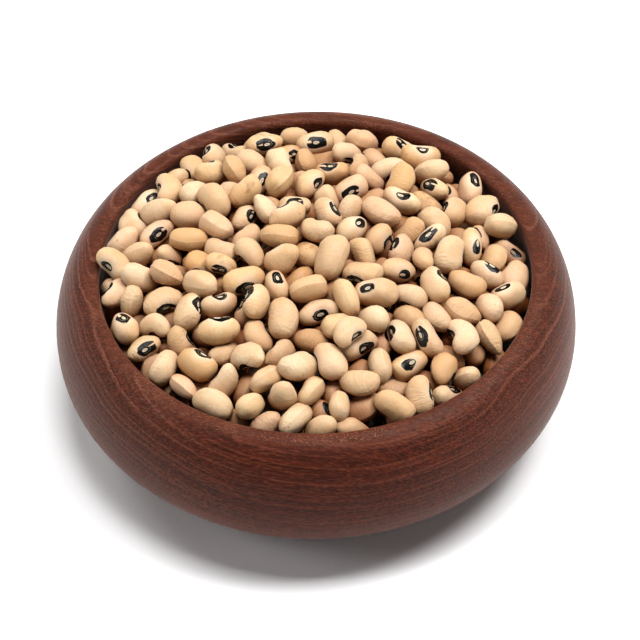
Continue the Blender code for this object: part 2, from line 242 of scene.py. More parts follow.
def turned_hardwood():
    """Growth rings that lie nearly level in the block, with streaks and pores along its grain."""
    made = bpy.data.materials.new("turned_hardwood")
    made.use_nodes = True
    tree = made.node_tree
    shader = tree.nodes["Principled BSDF"]
    place = put(tree, "ShaderNodeTexCoord").outputs["Object"]
    board = put(tree, "ShaderNodeMapping", {"Vector": place, "Rotation": BOARD_TILT}).outputs[0]

    # Growth rings, of uneven width, each with a broken pale line that is fainter at the right
    along = put(tree, "ShaderNodeSeparateXYZ", {0: board})
    aside = calc(tree, "ADD", along.outputs["Y"], PITH_ASIDE)
    above = calc(tree, "ADD", along.outputs["Z"], PITH_DEPTH)
    aside, above = calc(tree, "POWER", aside, 2.0), calc(tree, "POWER", above, 2.0)
    depth = calc(tree, "SQRT", calc(tree, "ADD", aside, above))
    sway = mottle(tree, stretched(tree, board, SWAY_GRAIN), 1.0, 2.0)
    depth = calc(tree, "ADD", depth, calc(tree, "MULTIPLY", sway, 0.0065))
    ring = calc(tree, "DIVIDE", depth, RING_SPACING)
    uneven = {"W": ring, "Scale": 0.6, "Detail": 1.0}
    uneven = put(tree, "ShaderNodeTexNoise", uneven, noise_dimensions="1D").outputs[0]
    ring = calc(tree, "ADD", ring, calc(tree, "MULTIPLY", uneven, 1.5))
    jagged = mottle(tree, stretched(tree, board, JAGGED_GRAIN), 1.0, 3.0, 0.6)
    ring = calc(tree, "ADD", ring, calc(tree, "MULTIPLY", jagged, 0.34))
    across_ring = calc(tree, "FRACT", ring)
    number = {"W": calc(tree, "FLOOR", ring)}
    ring_tone = put(tree, "ShaderNodeTexWhiteNoise", number, noise_dimensions="1D").outputs[0]
    late = fade(tree, across_ring, 0.25, 0.95)
    ring_line = fade(tree, across_ring, 0.0, 0.05)
    ring_line = calc(tree, "MULTIPLY", ring_line, fade(tree, across_ring, 0.22, 0.09))
    broken = mottle(tree, stretched(tree, board, BROKEN_GRAIN), 1.0, 3.0, 0.7)
    ring_line = calc(tree, "MULTIPLY", ring_line, fade(tree, broken, 0.36, 0.60, 0.45, 1.0))
    faint = fade(tree, along.outputs["X"], 0.020, -0.040, 0.25, 1.0)
    ring_line = calc(tree, "MULTIPLY", ring_line, faint)

    # Fine lines follow the rings, and streaks, fibres and pores run with the grain
    lines_along = calc(tree, "MULTIPLY", along.outputs["X"], LINES_ALONG)
    lines = {0: lines_along, 1: calc(tree, "MULTIPLY", depth, LINES_ACROSS)}
    lines = put(tree, "ShaderNodeCombineXYZ", lines).outputs[0]
    fine_line = mottle(tree, lines, 1.0, 2.0, 0.55)
    streak = mottle(tree, stretched(tree, board, STREAK_GRAIN), 1.0, 5.0, 0.62)
    fibre = mottle(tree, stretched(tree, board, FIBRE_GRAIN), 1.0, 3.0, 0.6)
    pore = mottle(tree, stretched(tree, board, PORE_GRAIN), 1.0, 1.0)
    dark_pore, pale_pore = fade(tree, pore, 0.54, 0.68), fade(tree, pore, 0.44, 0.32)
    patch = mottle(tree, place, PATCHES_PER_METRE, 3.0)

    # Short upright scratches low on the side, left by sanding
    spot = put(tree, "ShaderNodeSeparateXYZ", {0: place})
    forwards = calc(tree, "MULTIPLY", spot.outputs["Y"], -1.0)
    turn = calc(tree, "ARCTAN2", spot.outputs["X"], forwards)
    upright = calc(tree, "MULTIPLY", spot.outputs["Z"], SCRATCHES_UPRIGHT)
    sweep = {0: calc(tree, "MULTIPLY", turn, SCRATCHES_ROUND), 1: upright}
    sweep = put(tree, "ShaderNodeCombineXYZ", sweep).outputs[0]
    scratch = fade(tree, mottle(tree, sweep, 1.0, 2.0, 0.6), 0.58, 0.70)
    scratch_low = fade(tree, spot.outputs["Z"], *SCRATCH_HEIGHTS)
    scratch = calc(tree, "MULTIPLY", scratch, scratch_low)

    # The rim's level top: worn, paler in part as painted light, speckled in patches, partly painted
    # glints
    radius = {0: stretched(tree, place, (1, 1, 0))}
    radius = put(tree, "ShaderNodeVectorMath", radius, operation="LENGTH").outputs["Value"]
    rim = fade(tree, radius, *RIM_RADII)
    rim = calc(tree, "MULTIPLY", rim, fade(tree, spot.outputs["Z"], *RIM_HEIGHTS))
    speckle = fade(tree, mottle(tree, place, SPECKLES_PER_METRE, 2.0, 0.7), 0.54, 0.66)
    speckle = calc(tree, "MULTIPLY", speckle, fade(tree, patch, 0.38, 0.60, 0.25, 1.0))

    # The colours, laid on one another, and painted shade that makes the front darker and redder
    base = tint(tree, calc(tree, "MULTIPLY", late, 0.60), WOOD_MID, WOOD_DARK)
    base = tint(tree, fade(tree, ring_tone, 0.0, 1.0, 0.0, 0.35), base, WOOD_DARK)
    base = tint(tree, fade(tree, streak, 0.40, 0.70, 0.0, 0.62), base, WOOD_RED)
    base = tint(tree, fade(tree, streak, 0.50, 0.30, 0.0, 0.50), base, WOOD_DARK)
    base = tint(tree, fade(tree, fine_line, 0.52, 0.68, 0.0, 0.45), base, WOOD_PALE)
    base = tint(tree, fade(tree, fine_line, 0.48, 0.32, 0.0, 0.55), base, WOOD_DARK)
    base = tint(tree, calc(tree, "MULTIPLY", ring_line, 0.80), base, WOOD_PALE)
    base = tint(tree, fade(tree, patch, 0.40, 0.68, 0.0, 0.25), base, WOOD_MID)
    base = tint(tree, fade(tree, fibre, 0.50, 0.70, 0.0, 0.30), base, WOOD_PALE)
    base = tint(tree, fade(tree, fibre, 0.50, 0.32, 0.0, 0.35), base, WOOD_DARK)
    base = tint(tree, calc(tree, "MULTIPLY", pale_pore, 0.32), base, WOOD_PALE)
    base = tint(tree, calc(tree, "MULTIPLY", dark_pore, 0.55), base, WOOD_DARK)
    base = tint(tree, calc(tree, "MULTIPLY", scratch, 0.45), base, WOOD_PALE)
    # Painted shade: darker and redder towards the front, where the rim's colour is also stronger
    front_shade = fade(tree, calc(tree, "ABSOLUTE", turn), 0.85, 0.20)
    base = tint(tree, front_shade, base, FRONT_SHADE_TINT, "MULTIPLY")
    rim_colour = tint(tree, speckle, WOOD_MID, WOOD_RIM_WEAR_AND_GLINT)
    rim = calc(tree, "MULTIPLY", rim, fade(tree, front_shade, 0.0, 1.0, 0.40, 0.58))
    base = tint(tree, rim, base, rim_colour)
    tree.links.new(base, shader.inputs["Base Color"])

    dull = fade(tree, streak, 0.3, 0.7, 0.52, 0.62)
    dull = calc(tree, "ADD", dull, calc(tree, "MULTIPLY", dark_pore, 0.15))
    tree.links.new(dull, shader.inputs["Roughness"])
    relief = calc(tree, "SUBTRACT", calc(tree, "MULTIPLY", fibre, 0.5), dark_pore)
    relief = calc(tree, "ADD", relief, calc(tree, "MULTIPLY", ring_line, 0.4))
    bump = put(tree, "ShaderNodeBump", {"Strength": 0.35, "Distance": 0.0001, "Height": relief})
    tree.links.new(bump.outputs[0], shader.inputs["Normal"])
    shader.inputs["Specular IOR Level"].default_value = 0.12
    shader.inputs["Sheen Weight"].default_value = 0.18
    shader.inputs["Sheen Roughness"].default_value = 0.35
    shader.inputs["Sheen Tint"].default_value = colour(255, 232, 222)
    return made


bowl = turned_piece("turned_bowl", bowl_profile(), HAND_WOBBLE)
bowl.data.materials.append(turned_hardwood())
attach(bowl, "root")
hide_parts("bowl")

# The beans: dried black-eyed beans, poured into the bowl until they stand a little above its
# rim. Each is a hard, dull-shiny cream seed with a pale scar on its inner side, set in a glossy
# black eye. They lie loose, on each other and against the mouth of the bowl.

BEAN_COUNT = 480
BEAN_LENGTH = 0.0093
LENGTH_SPREAD = 0.00072
LENGTH_RANGE = (0.0078, 0.0110)
WIDTH_SHARE = 0.69
WIDTH_SPREAD = 0.035
WIDTH_RANGE = (0.60, 0.78)
THICKNESS_SHARE = 0.86
THICKNESS_SPREAD = 0.04
THICKNESS_RANGE = (0.76, 0.95)
SEED = 54
BED_EDGE = 0.0245
BED_MIDDLE = 0.0355
LEAN_RIGHT = -0.006
LEAN_BACK = -0.008
WALL_GAP = 0.0005
RIM_OVERHANG = 0.0010

# Balls that stand for a bean while it is laid: place along its length and across its width, as
# shares of those sizes, and radius, as a share of its thickness
BALLS = np.array(
    [
        (0.00, 0.085, 0.500),
        (0.00, -0.055, 0.490),
        (0.17, 0.070, 0.490),
        (0.17, -0.085, 0.475),
        (-0.17, 0.070, 0.490),
        (-0.17, -0.085, 0.475),
        (0.29, -0.015, 0.380),
        (-0.29, -0.015, 0.380),
    ]
)
UP = np.array([0.0, 0.0, 1.0])

# How the beans are scattered before they are lowered
LAYERS = 3
LAYER_RISE = 0.0075
START_RISE = 0.004
START_SHIFT = 0.0006
START_LIFT = 0.001
START_PITCH = 0.35

# How they are lowered and eased apart, pass by pass
PASSES = 260
LAST_PASSES = 60
STEP_DOWN = 0.00012
LAST_STEP_DOWN = 0.00003
EASING_ROUNDS = 2
NEIGHBOURS_EVERY = 6
NEIGHBOUR_REACH = 0.0003
SHARING_POWER = 0.6
TURN_GAIN = 1.6
MOST_TURN = 0.12
DECIMALS = 9


def dome(place, edge, middle):
    """Height of the leaning dome over the mouth, at a place or at many."""
    out = (place[..., 0] ** 2 + place[..., 1] ** 2) / MOUTH_RADIUS**2
    lean = place[..., 0] * LEAN_RIGHT + place[..., 1] * LEAN_BACK
    return edge + (middle - edge) * (1 - out) + lean


def bean_sizes(draw):
    """Length, width and thickness of every bean."""
    length = np.clip(draw.normal(BEAN_LENGTH, LENGTH_SPREAD, BEAN_COUNT), *LENGTH_RANGE)
    width = length * np.clip(draw.normal(WIDTH_SHARE, WIDTH_SPREAD, BEAN_COUNT), *WIDTH_RANGE)
    share = draw.normal(THICKNESS_SHARE, THICKNESS_SPREAD, BEAN_COUNT)
    return np.stack([length, width, width * np.clip(share, *THICKNESS_RANGE)], 1)


def axes_from_angles(heading, pitch, roll):
    """A 3 by 3 matrix for each bean. Its columns point along, across and through the bean."""
    ch, sh = np.cos(heading), np.sin(heading)
    cp, sp = np.cos(pitch), np.sin(pitch)
    cr, sr = np.cos(roll), np.sin(roll)
    along = np.stack([ch * cp, sh * cp, -sp], 1)
    across = np.stack([ch * sp * sr - sh * cr, sh * sp * sr + ch * cr, cp * sr], 1)
    return np.stack([along, across, np.cross(along, across)], 2)


def turned_axes(axes, spin):
    """The axes after a small turn about the vector spin, made square again."""
    along = axes[:, :, 0] + np.cross(spin, axes[:, :, 0])
    across = axes[:, :, 1] + np.cross(spin, axes[:, :, 1])
    along /= np.sqrt((along**2).sum(1, keepdims=True))
    across -= along * (along * across).sum(1, keepdims=True)
    across /= np.sqrt((across**2).sum(1, keepdims=True))
    return np.stack([along, across, np.cross(along, across)], 2)


def first_places(draw):
    """Beans on flat spirals, one above the other, each turned at random."""
    in_layer = math.ceil(BEAN_COUNT / LAYERS)
    layer, place = np.divmod(np.arange(BEAN_COUNT), in_layer)
    radius = (MOUTH_RADIUS - BEAN_LENGTH / 2) * np.sqrt((place + 0.5) / in_layer)
    angle = place * math.pi * (3 - math.sqrt(5)) + layer
    centres = np.stack([radius * np.cos(angle), radius * np.sin(angle), 0 * radius], 1)
    centres[:, :2] += draw.normal(0, START_SHIFT, (BEAN_COUNT, 2))
    bed = dome(centres, BED_EDGE, BED_MIDDLE)
    lift = draw.uniform(-START_LIFT, START_LIFT, BEAN_COUNT)
    centres[:, 2] = bed + START_RISE + layer * LAYER_RISE + lift
    axes = axes_from_angles(
        draw.uniform(0, 2 * math.pi, BEAN_COUNT),
        draw.normal(0, START_PITCH, BEAN_COUNT),
        draw.uniform(0, 2 * math.pi, BEAN_COUNT),
    )
    return centres, axes


def near_pairs(centres, reach):
    """Pairs of beans near enough to touch."""
    apart = ((centres[:, None] - centres[None]) ** 2).sum(2)
    return np.nonzero(np.triu(apart < (reach[:, None] + reach[None]) ** 2, 1))


def pushes_between(balls, radii, pairs):
    """Half of each overlap between two beans' balls, as a push on each: bean, place, push."""
    first, second = pairs
    apart = balls[first][:, :, None] - balls[second][:, None]
    distance = np.sqrt((apart**2).sum(3))
    overlap = radii[first][:, :, None] + radii[second][:, None] - distance
    pair, a, b = np.nonzero(overlap > 0)
    away = apart[pair, a, b] / distance[pair, a, b][:, None]
    push = away * (overlap[pair, a, b] / 2)[:, None]
    bean = np.concatenate([first[pair], second[pair]])
    place = np.concatenate([balls[first[pair], a], balls[second[pair], b]])
    return bean, place, np.concatenate([push, -push])


def pushes_from_bowl(balls, radii):
    """The same for balls that reach into the mouth's side, the rounded rim or the bed."""
    radius = np.hypot(balls[:, :, 0], balls[:, :, 1])
    height = balls[:, :, 2]
    outwards = balls / radius[:, :, None]
    outwards[:, :, 2] = 0
    neck = BOWL_HEIGHT - RIM_ROUNDING
    past_mouth = radius + radii + WALL_GAP - MOUTH_RADIUS
    in_side = np.where(height < neck, past_mouth, past_mouth - RIM_OVERHANG)
    from_rim = np.stack([radius - MOUTH_RADIUS - RIM_ROUNDING, height - neck], 2)
    distance = np.sqrt((from_rim**2).sum(2))
    in_rim = np.where(height < neck, 0, radii + RIM_ROUNDING + WALL_GAP - distance)
    off_rim = from_rim / distance[:, :, None]
    off_rim = outwards * off_rim[:, :, :1] + UP * off_rim[:, :, 1:]
    in_bed = dome(balls, BED_EDGE, BED_MIDDLE) + radii - height
    found = []
    for depth, way in ((in_side, -outwards), (in_rim, off_rim), (in_bed, UP + 0 * balls)):
        bean, ball = np.nonzero(depth > 0)
        push = way[bean, ball] * depth[bean, ball][:, None]
        found.append((bean, balls[bean, ball], push))
    return [np.concatenate(parts) for parts in zip(*found)]


def summed(bean, vectors):
    """The vectors added up for each bean."""
    return np.stack([np.bincount(bean, vectors[:, k], BEAN_COUNT) for k in range(3)], 1)


def lay_beans(draw):
    """Centres, axes and sizes of the laid beans. The rounding makes every run end alike."""
    sizes = bean_sizes(draw)
    centres, axes = first_places(draw)
    offsets = np.zeros((BEAN_COUNT, len(BALLS), 3))
    offsets[:, :, :2] = BALLS[:, :2] * sizes[:, None, :2]
    radii = BALLS[:, 2] * sizes[:, 2:]
    ball_share = 0.4 * (radii**2).sum(1)
    about = (offsets**2).sum(1)[:, [1, 0]] + ball_share[:, None]
    resistance = np.column_stack([about, about.sum(1) - ball_share])
    reach = sizes[:, 0] / 2 + NEIGHBOUR_REACH
    for number in range(PASSES):
        if number % NEIGHBOURS_EVERY == 0:
            pairs = near_pairs(centres, reach)
        centres[:, 2] -= STEP_DOWN if number < PASSES - LAST_PASSES else LAST_STEP_DOWN
        for _ in range(EASING_ROUNDS):
            balls = centres[:, None] + np.einsum("nij,nkj->nki", axes, offsets)
            found = zip(pushes_between(balls, radii, pairs), pushes_from_bowl(balls, radii))
            bean, place, push = [np.concatenate(parts) for parts in found]
            touches = np.maximum(np.bincount(bean, minlength=BEAN_COUNT), 1)[:, None]
            share = touches**-SHARING_POWER
            twist = summed(bean, np.cross(place - centres[bean], push))
            spin = np.einsum("nji,nj->ni", axes, twist) / resistance
            spin = np.einsum("nij,nj->ni", axes, spin) * TURN_GAIN
            angle = np.sqrt((spin**2).sum(1, keepdims=True))
            spin *= share * np.minimum(1, MOST_TURN / np.maximum(angle, MOST_TURN / 1e6))
            centres = np.round(centres + summed(bean, push) * share, DECIMALS)
            axes = np.round(turned_axes(axes, spin), DECIMALS)
    return centres, axes, sizes


# Bean shapes. blunt flattens the ends and square the faces, bow bends the ends towards the eye,
# notch is the dent at the eye, keel pinches the back, crest raises a ridge along it and skew
# moves it to one side, taper makes one end larger, slant leans both ends, and crumple is how
# uneven the skin is
SHAPE_WORDS = (
    "blunt", "square", "bow", "notch", "keel", "crest", "skew", "taper", "slant", "crumple"
)
BEAN_KINDS = {
    "kidney": (2.3, 2.1, 0.24, 0.24, 0.20, 0.02, 0.10, 0.03, 0.00, 0.030),
    "plump": (2.5, 2.3, 0.10, 0.12, 0.15, 0.03, -0.12, -0.05, 0.08, 0.030),
    "long": (2.2, 2.1, 0.16, 0.14, 0.28, 0.05, 0.13, 0.05, 0.00, 0.030),
    "barrel": (2.9, 2.3, 0.06, 0.12, 0.20, 0.04, -0.12, 0.08, 0.14, 0.035),
    "keeled": (2.0, 2.0, 0.10, 0.08, 0.36, 0.06, 0.15, 0.00, 0.00, 0.035),
    "egg": (2.1, 2.1, 0.05, 0.10, 0.15, 0.02, 0.08, 0.20, 0.00, 0.030),
    "bent": (2.3, 2.1, 0.34, 0.32, 0.25, 0.04, 0.12, -0.08, 0.05, 0.035),
    "pressed": (3.0, 2.7, 0.08, 0.12, 0.25, 0.05, 0.18, -0.08, -0.16, 0.035),
    "wrinkled": (2.3, 2.2, 0.12, 0.16, 0.32, 0.06, -0.15, 0.14, 0.08, 0.080),
    "square_end": (3.2, 2.2, 0.14, 0.18, 0.24, 0.05, -0.13, 0.12, -0.10, 0.040),
    "flat": (2.4, 2.6, 0.12, 0.10, 0.28, 0.05, 0.14, 0.06, 0.06, 0.040),
    "shrivelled": (2.0, 2.2, 0.10, 0.20, 0.50, 0.08, 0.18, 0.22, 0.05, 0.130),
}
KIND_SHARES = (0.15, 0.11, 0.11, 0.10, 0.11, 0.08, 0.07, 0.07, 0.05, 0.06, 0.05, 0.04)
NOTCH_HALF_LENGTH = 0.36
KEEL_ROUNDING = 0.10
CREST_HALF_WIDTH = 0.15
RIDGE_SWAY = 0.5
RIDGE_WAVES = 3
BEAN_SHIFT = 0.05
BEAN_SIDES = 24
BEAN_RINGS = 13

# The skin's unevenness: how fine each noise is and how much it adds, and where the next bean's
# pattern starts
UNEVEN_NOISES = ((1.1, 1.0), (2.7, 0.4), (4.5, 0.3))
PATTERN_STEP = 7.3
PATTERN_ASIDE = 3.1

# A usual bean's length, width and thickness in millimetres, which its colours are laid out on
UNIT_BEAN = (9.6, 6.6, 5.7)


def squared(first, second, power):
    """How far a point of a circle moves out to lie on a rounder-cornered square."""
    return max(abs(first) ** power + abs(second) ** power, 1e-9) ** (-1 / power)


def bean_point(
    on_ball, blunt, square, bow, notch, keel, crest, skew, taper, slant, crumple, pattern
):
    """A point of the unit ball moved onto a bean one unit long, wide and thick."""
    along, across, through = on_ball
    ring = math.sqrt(max(1 - along**2, 1e-9))
    across, through = across / ring, through / ring
    corner = squared(across, through, square)
    across *= corner
    ridge = crest * math.exp(-((through / CREST_HALF_WIDTH) ** 2))
    through *= corner * math.hypot(through, KEEL_ROUNDING) ** (keel * max(across, 0))
    across += ridge * max(across, 0) ** 2
    corner = squared(along, ring, blunt)
    along *= corner
    girth = ring * corner * (1 + taper * along)
    side, through = across * girth, through * girth
    dent = notch * math.exp(-((along / NOTCH_HALF_LENGTH) ** 2)) * min(side, 0.0) ** 2
    sway = 1 - along**2 + RIDGE_SWAY * math.sin(RIDGE_WAVES * along + pattern.x)
    through += skew * sway * max(side, 0)
    side += dent - bow * along**2 + BEAN_SHIFT
    along += slant * side
    point = Vector((along, side, through))
    uneven = sum(share * noise.noise(point * scale + pattern) for scale, share in UNEVEN_NOISES)
    return point * (1 + crumple * uneven) / 2


def bean_shape(number, kind):
    """One bean of unit sizes. Its length lies along X and its eye faces -Y."""
    pattern = Vector((PATTERN_STEP * number, 0.0, PATTERN_ASIDE))
    shape = bmesh.new()
    bmesh.ops.create_uvsphere(shape, u_segments=BEAN_SIDES, v_segments=BEAN_RINGS, radius=1)
    form = dict(zip(SHAPE_WORDS, BEAN_KINDS[kind]), pattern=pattern)
    plain_form = dict(form, skew=0, slant=0, crumple=0)
    on_bean = []
    for vert in shape.verts:
        on_ball = (vert.co.z, vert.co.y, -vert.co.x)
        vert.co = bean_point(on_ball, **form)
        on_bean.append(bean_point(on_ball, **plain_form) * Vector(UNIT_BEAN))
    mesh = bpy.data.meshes.new(kind + "_bean")
    shape.to_mesh(mesh)
    shape.free()
    mesh.shade_smooth()
    where = mesh.attributes.new("on_bean", "FLOAT_VECTOR", "POINT")
    for place, spot in zip(on_bean, where.data):
        spot.vector = place
    return bpy.data.objects.new(f"{number}_{kind}_bean", mesh)


BEAN_PALE = colour(210, 185, 152)
BEAN_CREAM = colour(200, 169, 133)
BEAN_WARM = colour(192, 149, 102)
BEAN_TAN = colour(190, 144, 90)
BEAN_PINK = colour(212, 170, 142)
BEAN_YELLOW = colour(204, 166, 110)
# Paler skin near the eye, also laid along the ridge as a painted highlight
BEAN_EYE_RIM_AND_HIGHLIGHT = colour(212, 186, 158)
BEAN_STAIN = colour(128, 80, 42)
BEAN_SPECK = colour(110, 76, 48)
BEAN_BLACK = colour(8, 6, 5)
BEAN_SCAR = colour(200, 186, 162)


def bean_skin_group():
    """Cream skin, pinker, yellower or tan on some beans, with the black eye and its pale scar."""
    tree = bpy.data.node_groups.new("bean_skin", "ShaderNodeTree")
    for name, kind in (("On Bean", "Vector"), ("Tone", "Float"), ("Draw", "Float")):
        tree.interface.new_socket(name, in_out="INPUT", socket_type="NodeSocket" + kind)
    results = (("Colour", "Color"), ("Eye", "Float"), ("Scar", "Float"), ("Relief", "Float"))
    for name, kind in results:
        tree.interface.new_socket(name, in_out="OUTPUT", socket_type="NodeSocket" + kind)
    given = put(tree, "NodeGroupInput").outputs
    spot, tone, drawn = given["On Bean"], given["Tone"], given["Draw"]
    xyz = put(tree, "ShaderNodeSeparateXYZ", {0: spot}).outputs
    pattern = calc(tree, "MULTIPLY", drawn, 71.0)
    second_draw = calc(tree, "FRACT", calc(tree, "MULTIPLY", drawn, 13.7))
    third_draw = calc(tree, "FRACT", calc(tree, "MULTIPLY", drawn, 37.3))

    def oval(half_length, half_width, aside=0.0):
        """Distance from the scar, 1 on an oval round it."""
        along = calc(tree, "DIVIDE", calc(tree, "SUBTRACT", xyz["X"], aside), half_length)
        through = calc(tree, "DIVIDE", xyz["Z"], half_width)
        along, through = calc(tree, "POWER", along, 2.0), calc(tree, "POWER", through, 2.0)
        return calc(tree, "SQRT", calc(tree, "ADD", along, through))

    # The eye: a black oval with a wavy edge, often split at one end of the scar
    inner_side = fade(tree, xyz["Y"], -0.9, -1.5)
    aside = fade(tree, third_draw, 0.0, 1.0, -0.5, 0.6)
    wavy = fade(tree, mottle(tree, spot, 0.34, 0.0, 0.5, pattern), 0.25, 0.75, -0.16, 0.16)
    frayed = fade(tree, mottle(tree, spot, 0.95, 1.0, 0.5, pattern), 0.25, 0.75, -1.0, 1.0)
    to_end = fade(tree, calc(tree, "ABSOLUTE", xyz["X"]), 1.0, 2.2, 0.02, 0.07)
    size = fade(tree, second_draw, 0.0, 1.0, 0.72, 1.03)
    eye = calc(tree, "ADD", oval(2.50, 1.60, aside), wavy)
    eye = calc(tree, "ADD", eye, calc(tree, "MULTIPLY", frayed, to_end))
    eye = calc(tree, "DIVIDE", eye, size)
    eye = calc(tree, "MULTIPLY", fade(tree, eye, 1.03, 0.98), inner_side)
    middle = calc(tree, "ADD", xyz["Z"], fade(tree, drawn, 0.0, 1.0, -0.5, 0.5))
    middle = calc(tree, "ABSOLUTE", middle)
    middle = calc(tree, "ADD", middle, calc(tree, "MULTIPLY", wavy, 1.2))
    split = calc(tree, "MULTIPLY", fade(tree, middle, 0.20, 0.10), fade(tree, xyz["X"], 0.9, 1.3))
    split = calc(tree, "MULTIPLY", split, fade(tree, second_draw, 0.50, 0.55))
    eye = calc(tree, "MULTIPLY", eye, calc(tree, "SUBTRACT", 1.0, split))

    # A fine pale line part of the way round, and the scar with its groove in the middle
    line = calc(tree, "ADD", oval(1.40, 0.86), calc(tree, "MULTIPLY", wavy, 0.3))
    line = calc(tree, "MULTIPLY", fade(tree, line, 0.94, 0.99), fade(tree, line, 1.07, 1.02))
    partly = mottle(tree, spot, 0.35, 0.0, 0.5, pattern)
    line = calc(tree, "MULTIPLY", line, fade(tree, partly, 0.46, 0.54))
    line = calc(tree, "MULTIPLY", calc(tree, "MULTIPLY", line, eye), 0.36)
    scar = calc(tree, "ADD", oval(0.86, 0.39, -0.1), calc(tree, "MULTIPLY", frayed, 0.09))
    scar = calc(tree, "MULTIPLY", fade(tree, scar, 1.05, 0.90), inner_side)
    groove = calc(tree, "MULTIPLY", fade(tree, oval(0.5, 0.07, -0.1), 1.3, 0.7), inner_side)

    # The skin, cloudy and a little wrinkled across its length
    clouds = mottle(tree, spot, 0.16, 2.0, 0.5, pattern)
    fine = mottle(tree, spot, 2.6, 3.0, 0.65, pattern)
    wrinkle = mottle(tree, stretched(tree, spot, (1.5, 0.22, 0.22)), 1.0, 2.0, 0.5, pattern)
    shrunk = mottle(tree, stretched(tree, spot, (2.6, 0.7, 0.7)), 1.0, 3.0, 0.6, pattern)
    shrunk = calc(tree, "MULTIPLY", shrunk, fade(tree, second_draw, 0.50, 0.95, 0.6, 3.4))
    specks = fade(tree, mottle(tree, spot, 1.3, 1.0, 0.5, pattern), 0.73, 0.77)
    # A pale line along the ridge on the back is a painted highlight; the ridge also rises in the
    # bump
    ridge = fade(tree, calc(tree, "ABSOLUTE", xyz["Z"]), 0.26, 0.04)
    ridge = calc(tree, "MULTIPLY", ridge, fade(tree, xyz["Y"], 0.6, 1.6))
    skin = tint(tree, fade(tree, tone, 0.0, 0.8), BEAN_PALE, BEAN_CREAM)
    skin = tint(tree, fade(tree, third_draw, 0.30, 0.0, 0.0, 0.45), skin, BEAN_PINK)
    skin = tint(tree, fade(tree, third_draw, 0.66, 0.93, 0.0, 0.45), skin, BEAN_YELLOW)
    skin = tint(tree, fade(tree, tone, 0.88, 1.0, 0.0, 0.7), skin, BEAN_TAN)
    skin = tint(tree, fade(tree, clouds, 0.42, 0.70, 0.0, 0.50), skin, BEAN_WARM)
    skin = tint(tree, fade(tree, fine, 0.40, 0.75, 0.0, 0.45), skin, BEAN_WARM)
    stain = fade(tree, mottle(tree, spot, 0.24, 4.0, 0.7, pattern), 0.52, 0.64)
    stain = calc(tree, "MULTIPLY", stain, fade(tree, third_draw, 0.95, 0.96))
    skin = tint(tree, calc(tree, "MULTIPLY", stain, 0.5), skin, BEAN_STAIN)
    near_eye = calc(tree, "MULTIPLY", fade(tree, oval(3.7, 3.0), 1.0, 0.5), inner_side)
    skin = tint(tree, calc(tree, "MULTIPLY", near_eye, 0.7), skin, BEAN_EYE_RIM_AND_HIGHLIGHT)
    # Painted highlight along the ridge
    skin = tint(tree, calc(tree, "MULTIPLY", ridge, 0.30), skin, BEAN_EYE_RIM_AND_HIGHLIGHT)
    skin = tint(tree, calc(tree, "MULTIPLY", specks, 0.5), skin, BEAN_SPECK)
    skin = tint(tree, eye, skin, BEAN_BLACK)
    skin = tint(tree, line, skin, BEAN_SCAR)
    skin = tint(tree, scar, skin, BEAN_SCAR)
    skin = tint(tree, calc(tree, "MULTIPLY", groove, 0.7), skin, BEAN_SPECK)

    relief = calc(tree, "MULTIPLY", fine, 0.90)
    relief = calc(tree, "ADD", relief, calc(tree, "MULTIPLY", scar, 0.6))
    relief = calc(tree, "ADD", relief, calc(tree, "MULTIPLY", wrinkle, 1.2))
    relief = calc(tree, "ADD", relief, shrunk)
    relief = calc(tree, "ADD", relief, calc(tree, "MULTIPLY", ridge, 0.3))
    relief = calc(tree, "SUBTRACT", relief, calc(tree, "MULTIPLY", groove, 0.6))
    relief = calc(tree, "ADD", relief, calc(tree, "MULTIPLY", line, 0.6))
    put(tree, "NodeGroupOutput", {"Colour": skin, "Eye": eye, "Scar": scar, "Relief": relief})
    return tree


bean_skin = bean_skin_group()

# The level of the heap's top at the bowl's side and in the middle, and how far below it the
# shade starts and is full
HEAP_EDGE = 0.0412
HEAP_MIDDLE = 0.0520
SHADE_START = -0.0006
SHADE_END = 0.0076
SHADE_COLOUR = (0.38, 0.165, 0.060, 1.0)


def heap_shade_group():
    """Painted shade between the beans: the colour darkens with depth in the heap."""
    tree = bpy.data.node_groups.new("heap_shade", "ShaderNodeTree")
    tree.interface.new_socket("Place", in_out="INPUT", socket_type="NodeSocketVector")
    tree.interface.new_socket("Colour", in_out="INPUT", socket_type="NodeSocketColor")
    tree.interface.new_socket("Colour", in_out="OUTPUT", socket_type="NodeSocketColor")
    given = put(tree, "NodeGroupInput").outputs
    around = {0: stretched(tree, given["Place"], (1 / MOUTH_RADIUS, 1 / MOUTH_RADIUS, 0))}
    around = put(tree, "ShaderNodeVectorMath", around, operation="LENGTH").outputs["Value"]
    level = calc(tree, "SUBTRACT", 1.0, calc(tree, "POWER", around, 2.0))
    level = calc(tree, "ADD", calc(tree, "MULTIPLY", level, HEAP_MIDDLE - HEAP_EDGE), HEAP_EDGE)
    lean = {0: given["Place"], 1: (LEAN_RIGHT, LEAN_BACK, 0)}
    lean = put(tree, "ShaderNodeVectorMath", lean, operation="DOT_PRODUCT").outputs["Value"]
    level = calc(tree, "ADD", level, lean)
    height = put(tree, "ShaderNodeSeparateXYZ", {0: given["Place"]}).outputs["Z"]
    depth = fade(tree, calc(tree, "SUBTRACT", level, height), SHADE_START, SHADE_END)
    shaded = tint(tree, depth, given["Colour"], SHADE_COLOUR, "MULTIPLY")
    put(tree, "NodeGroupOutput", {0: shaded})
    return tree


heap_shade = heap_shade_group()


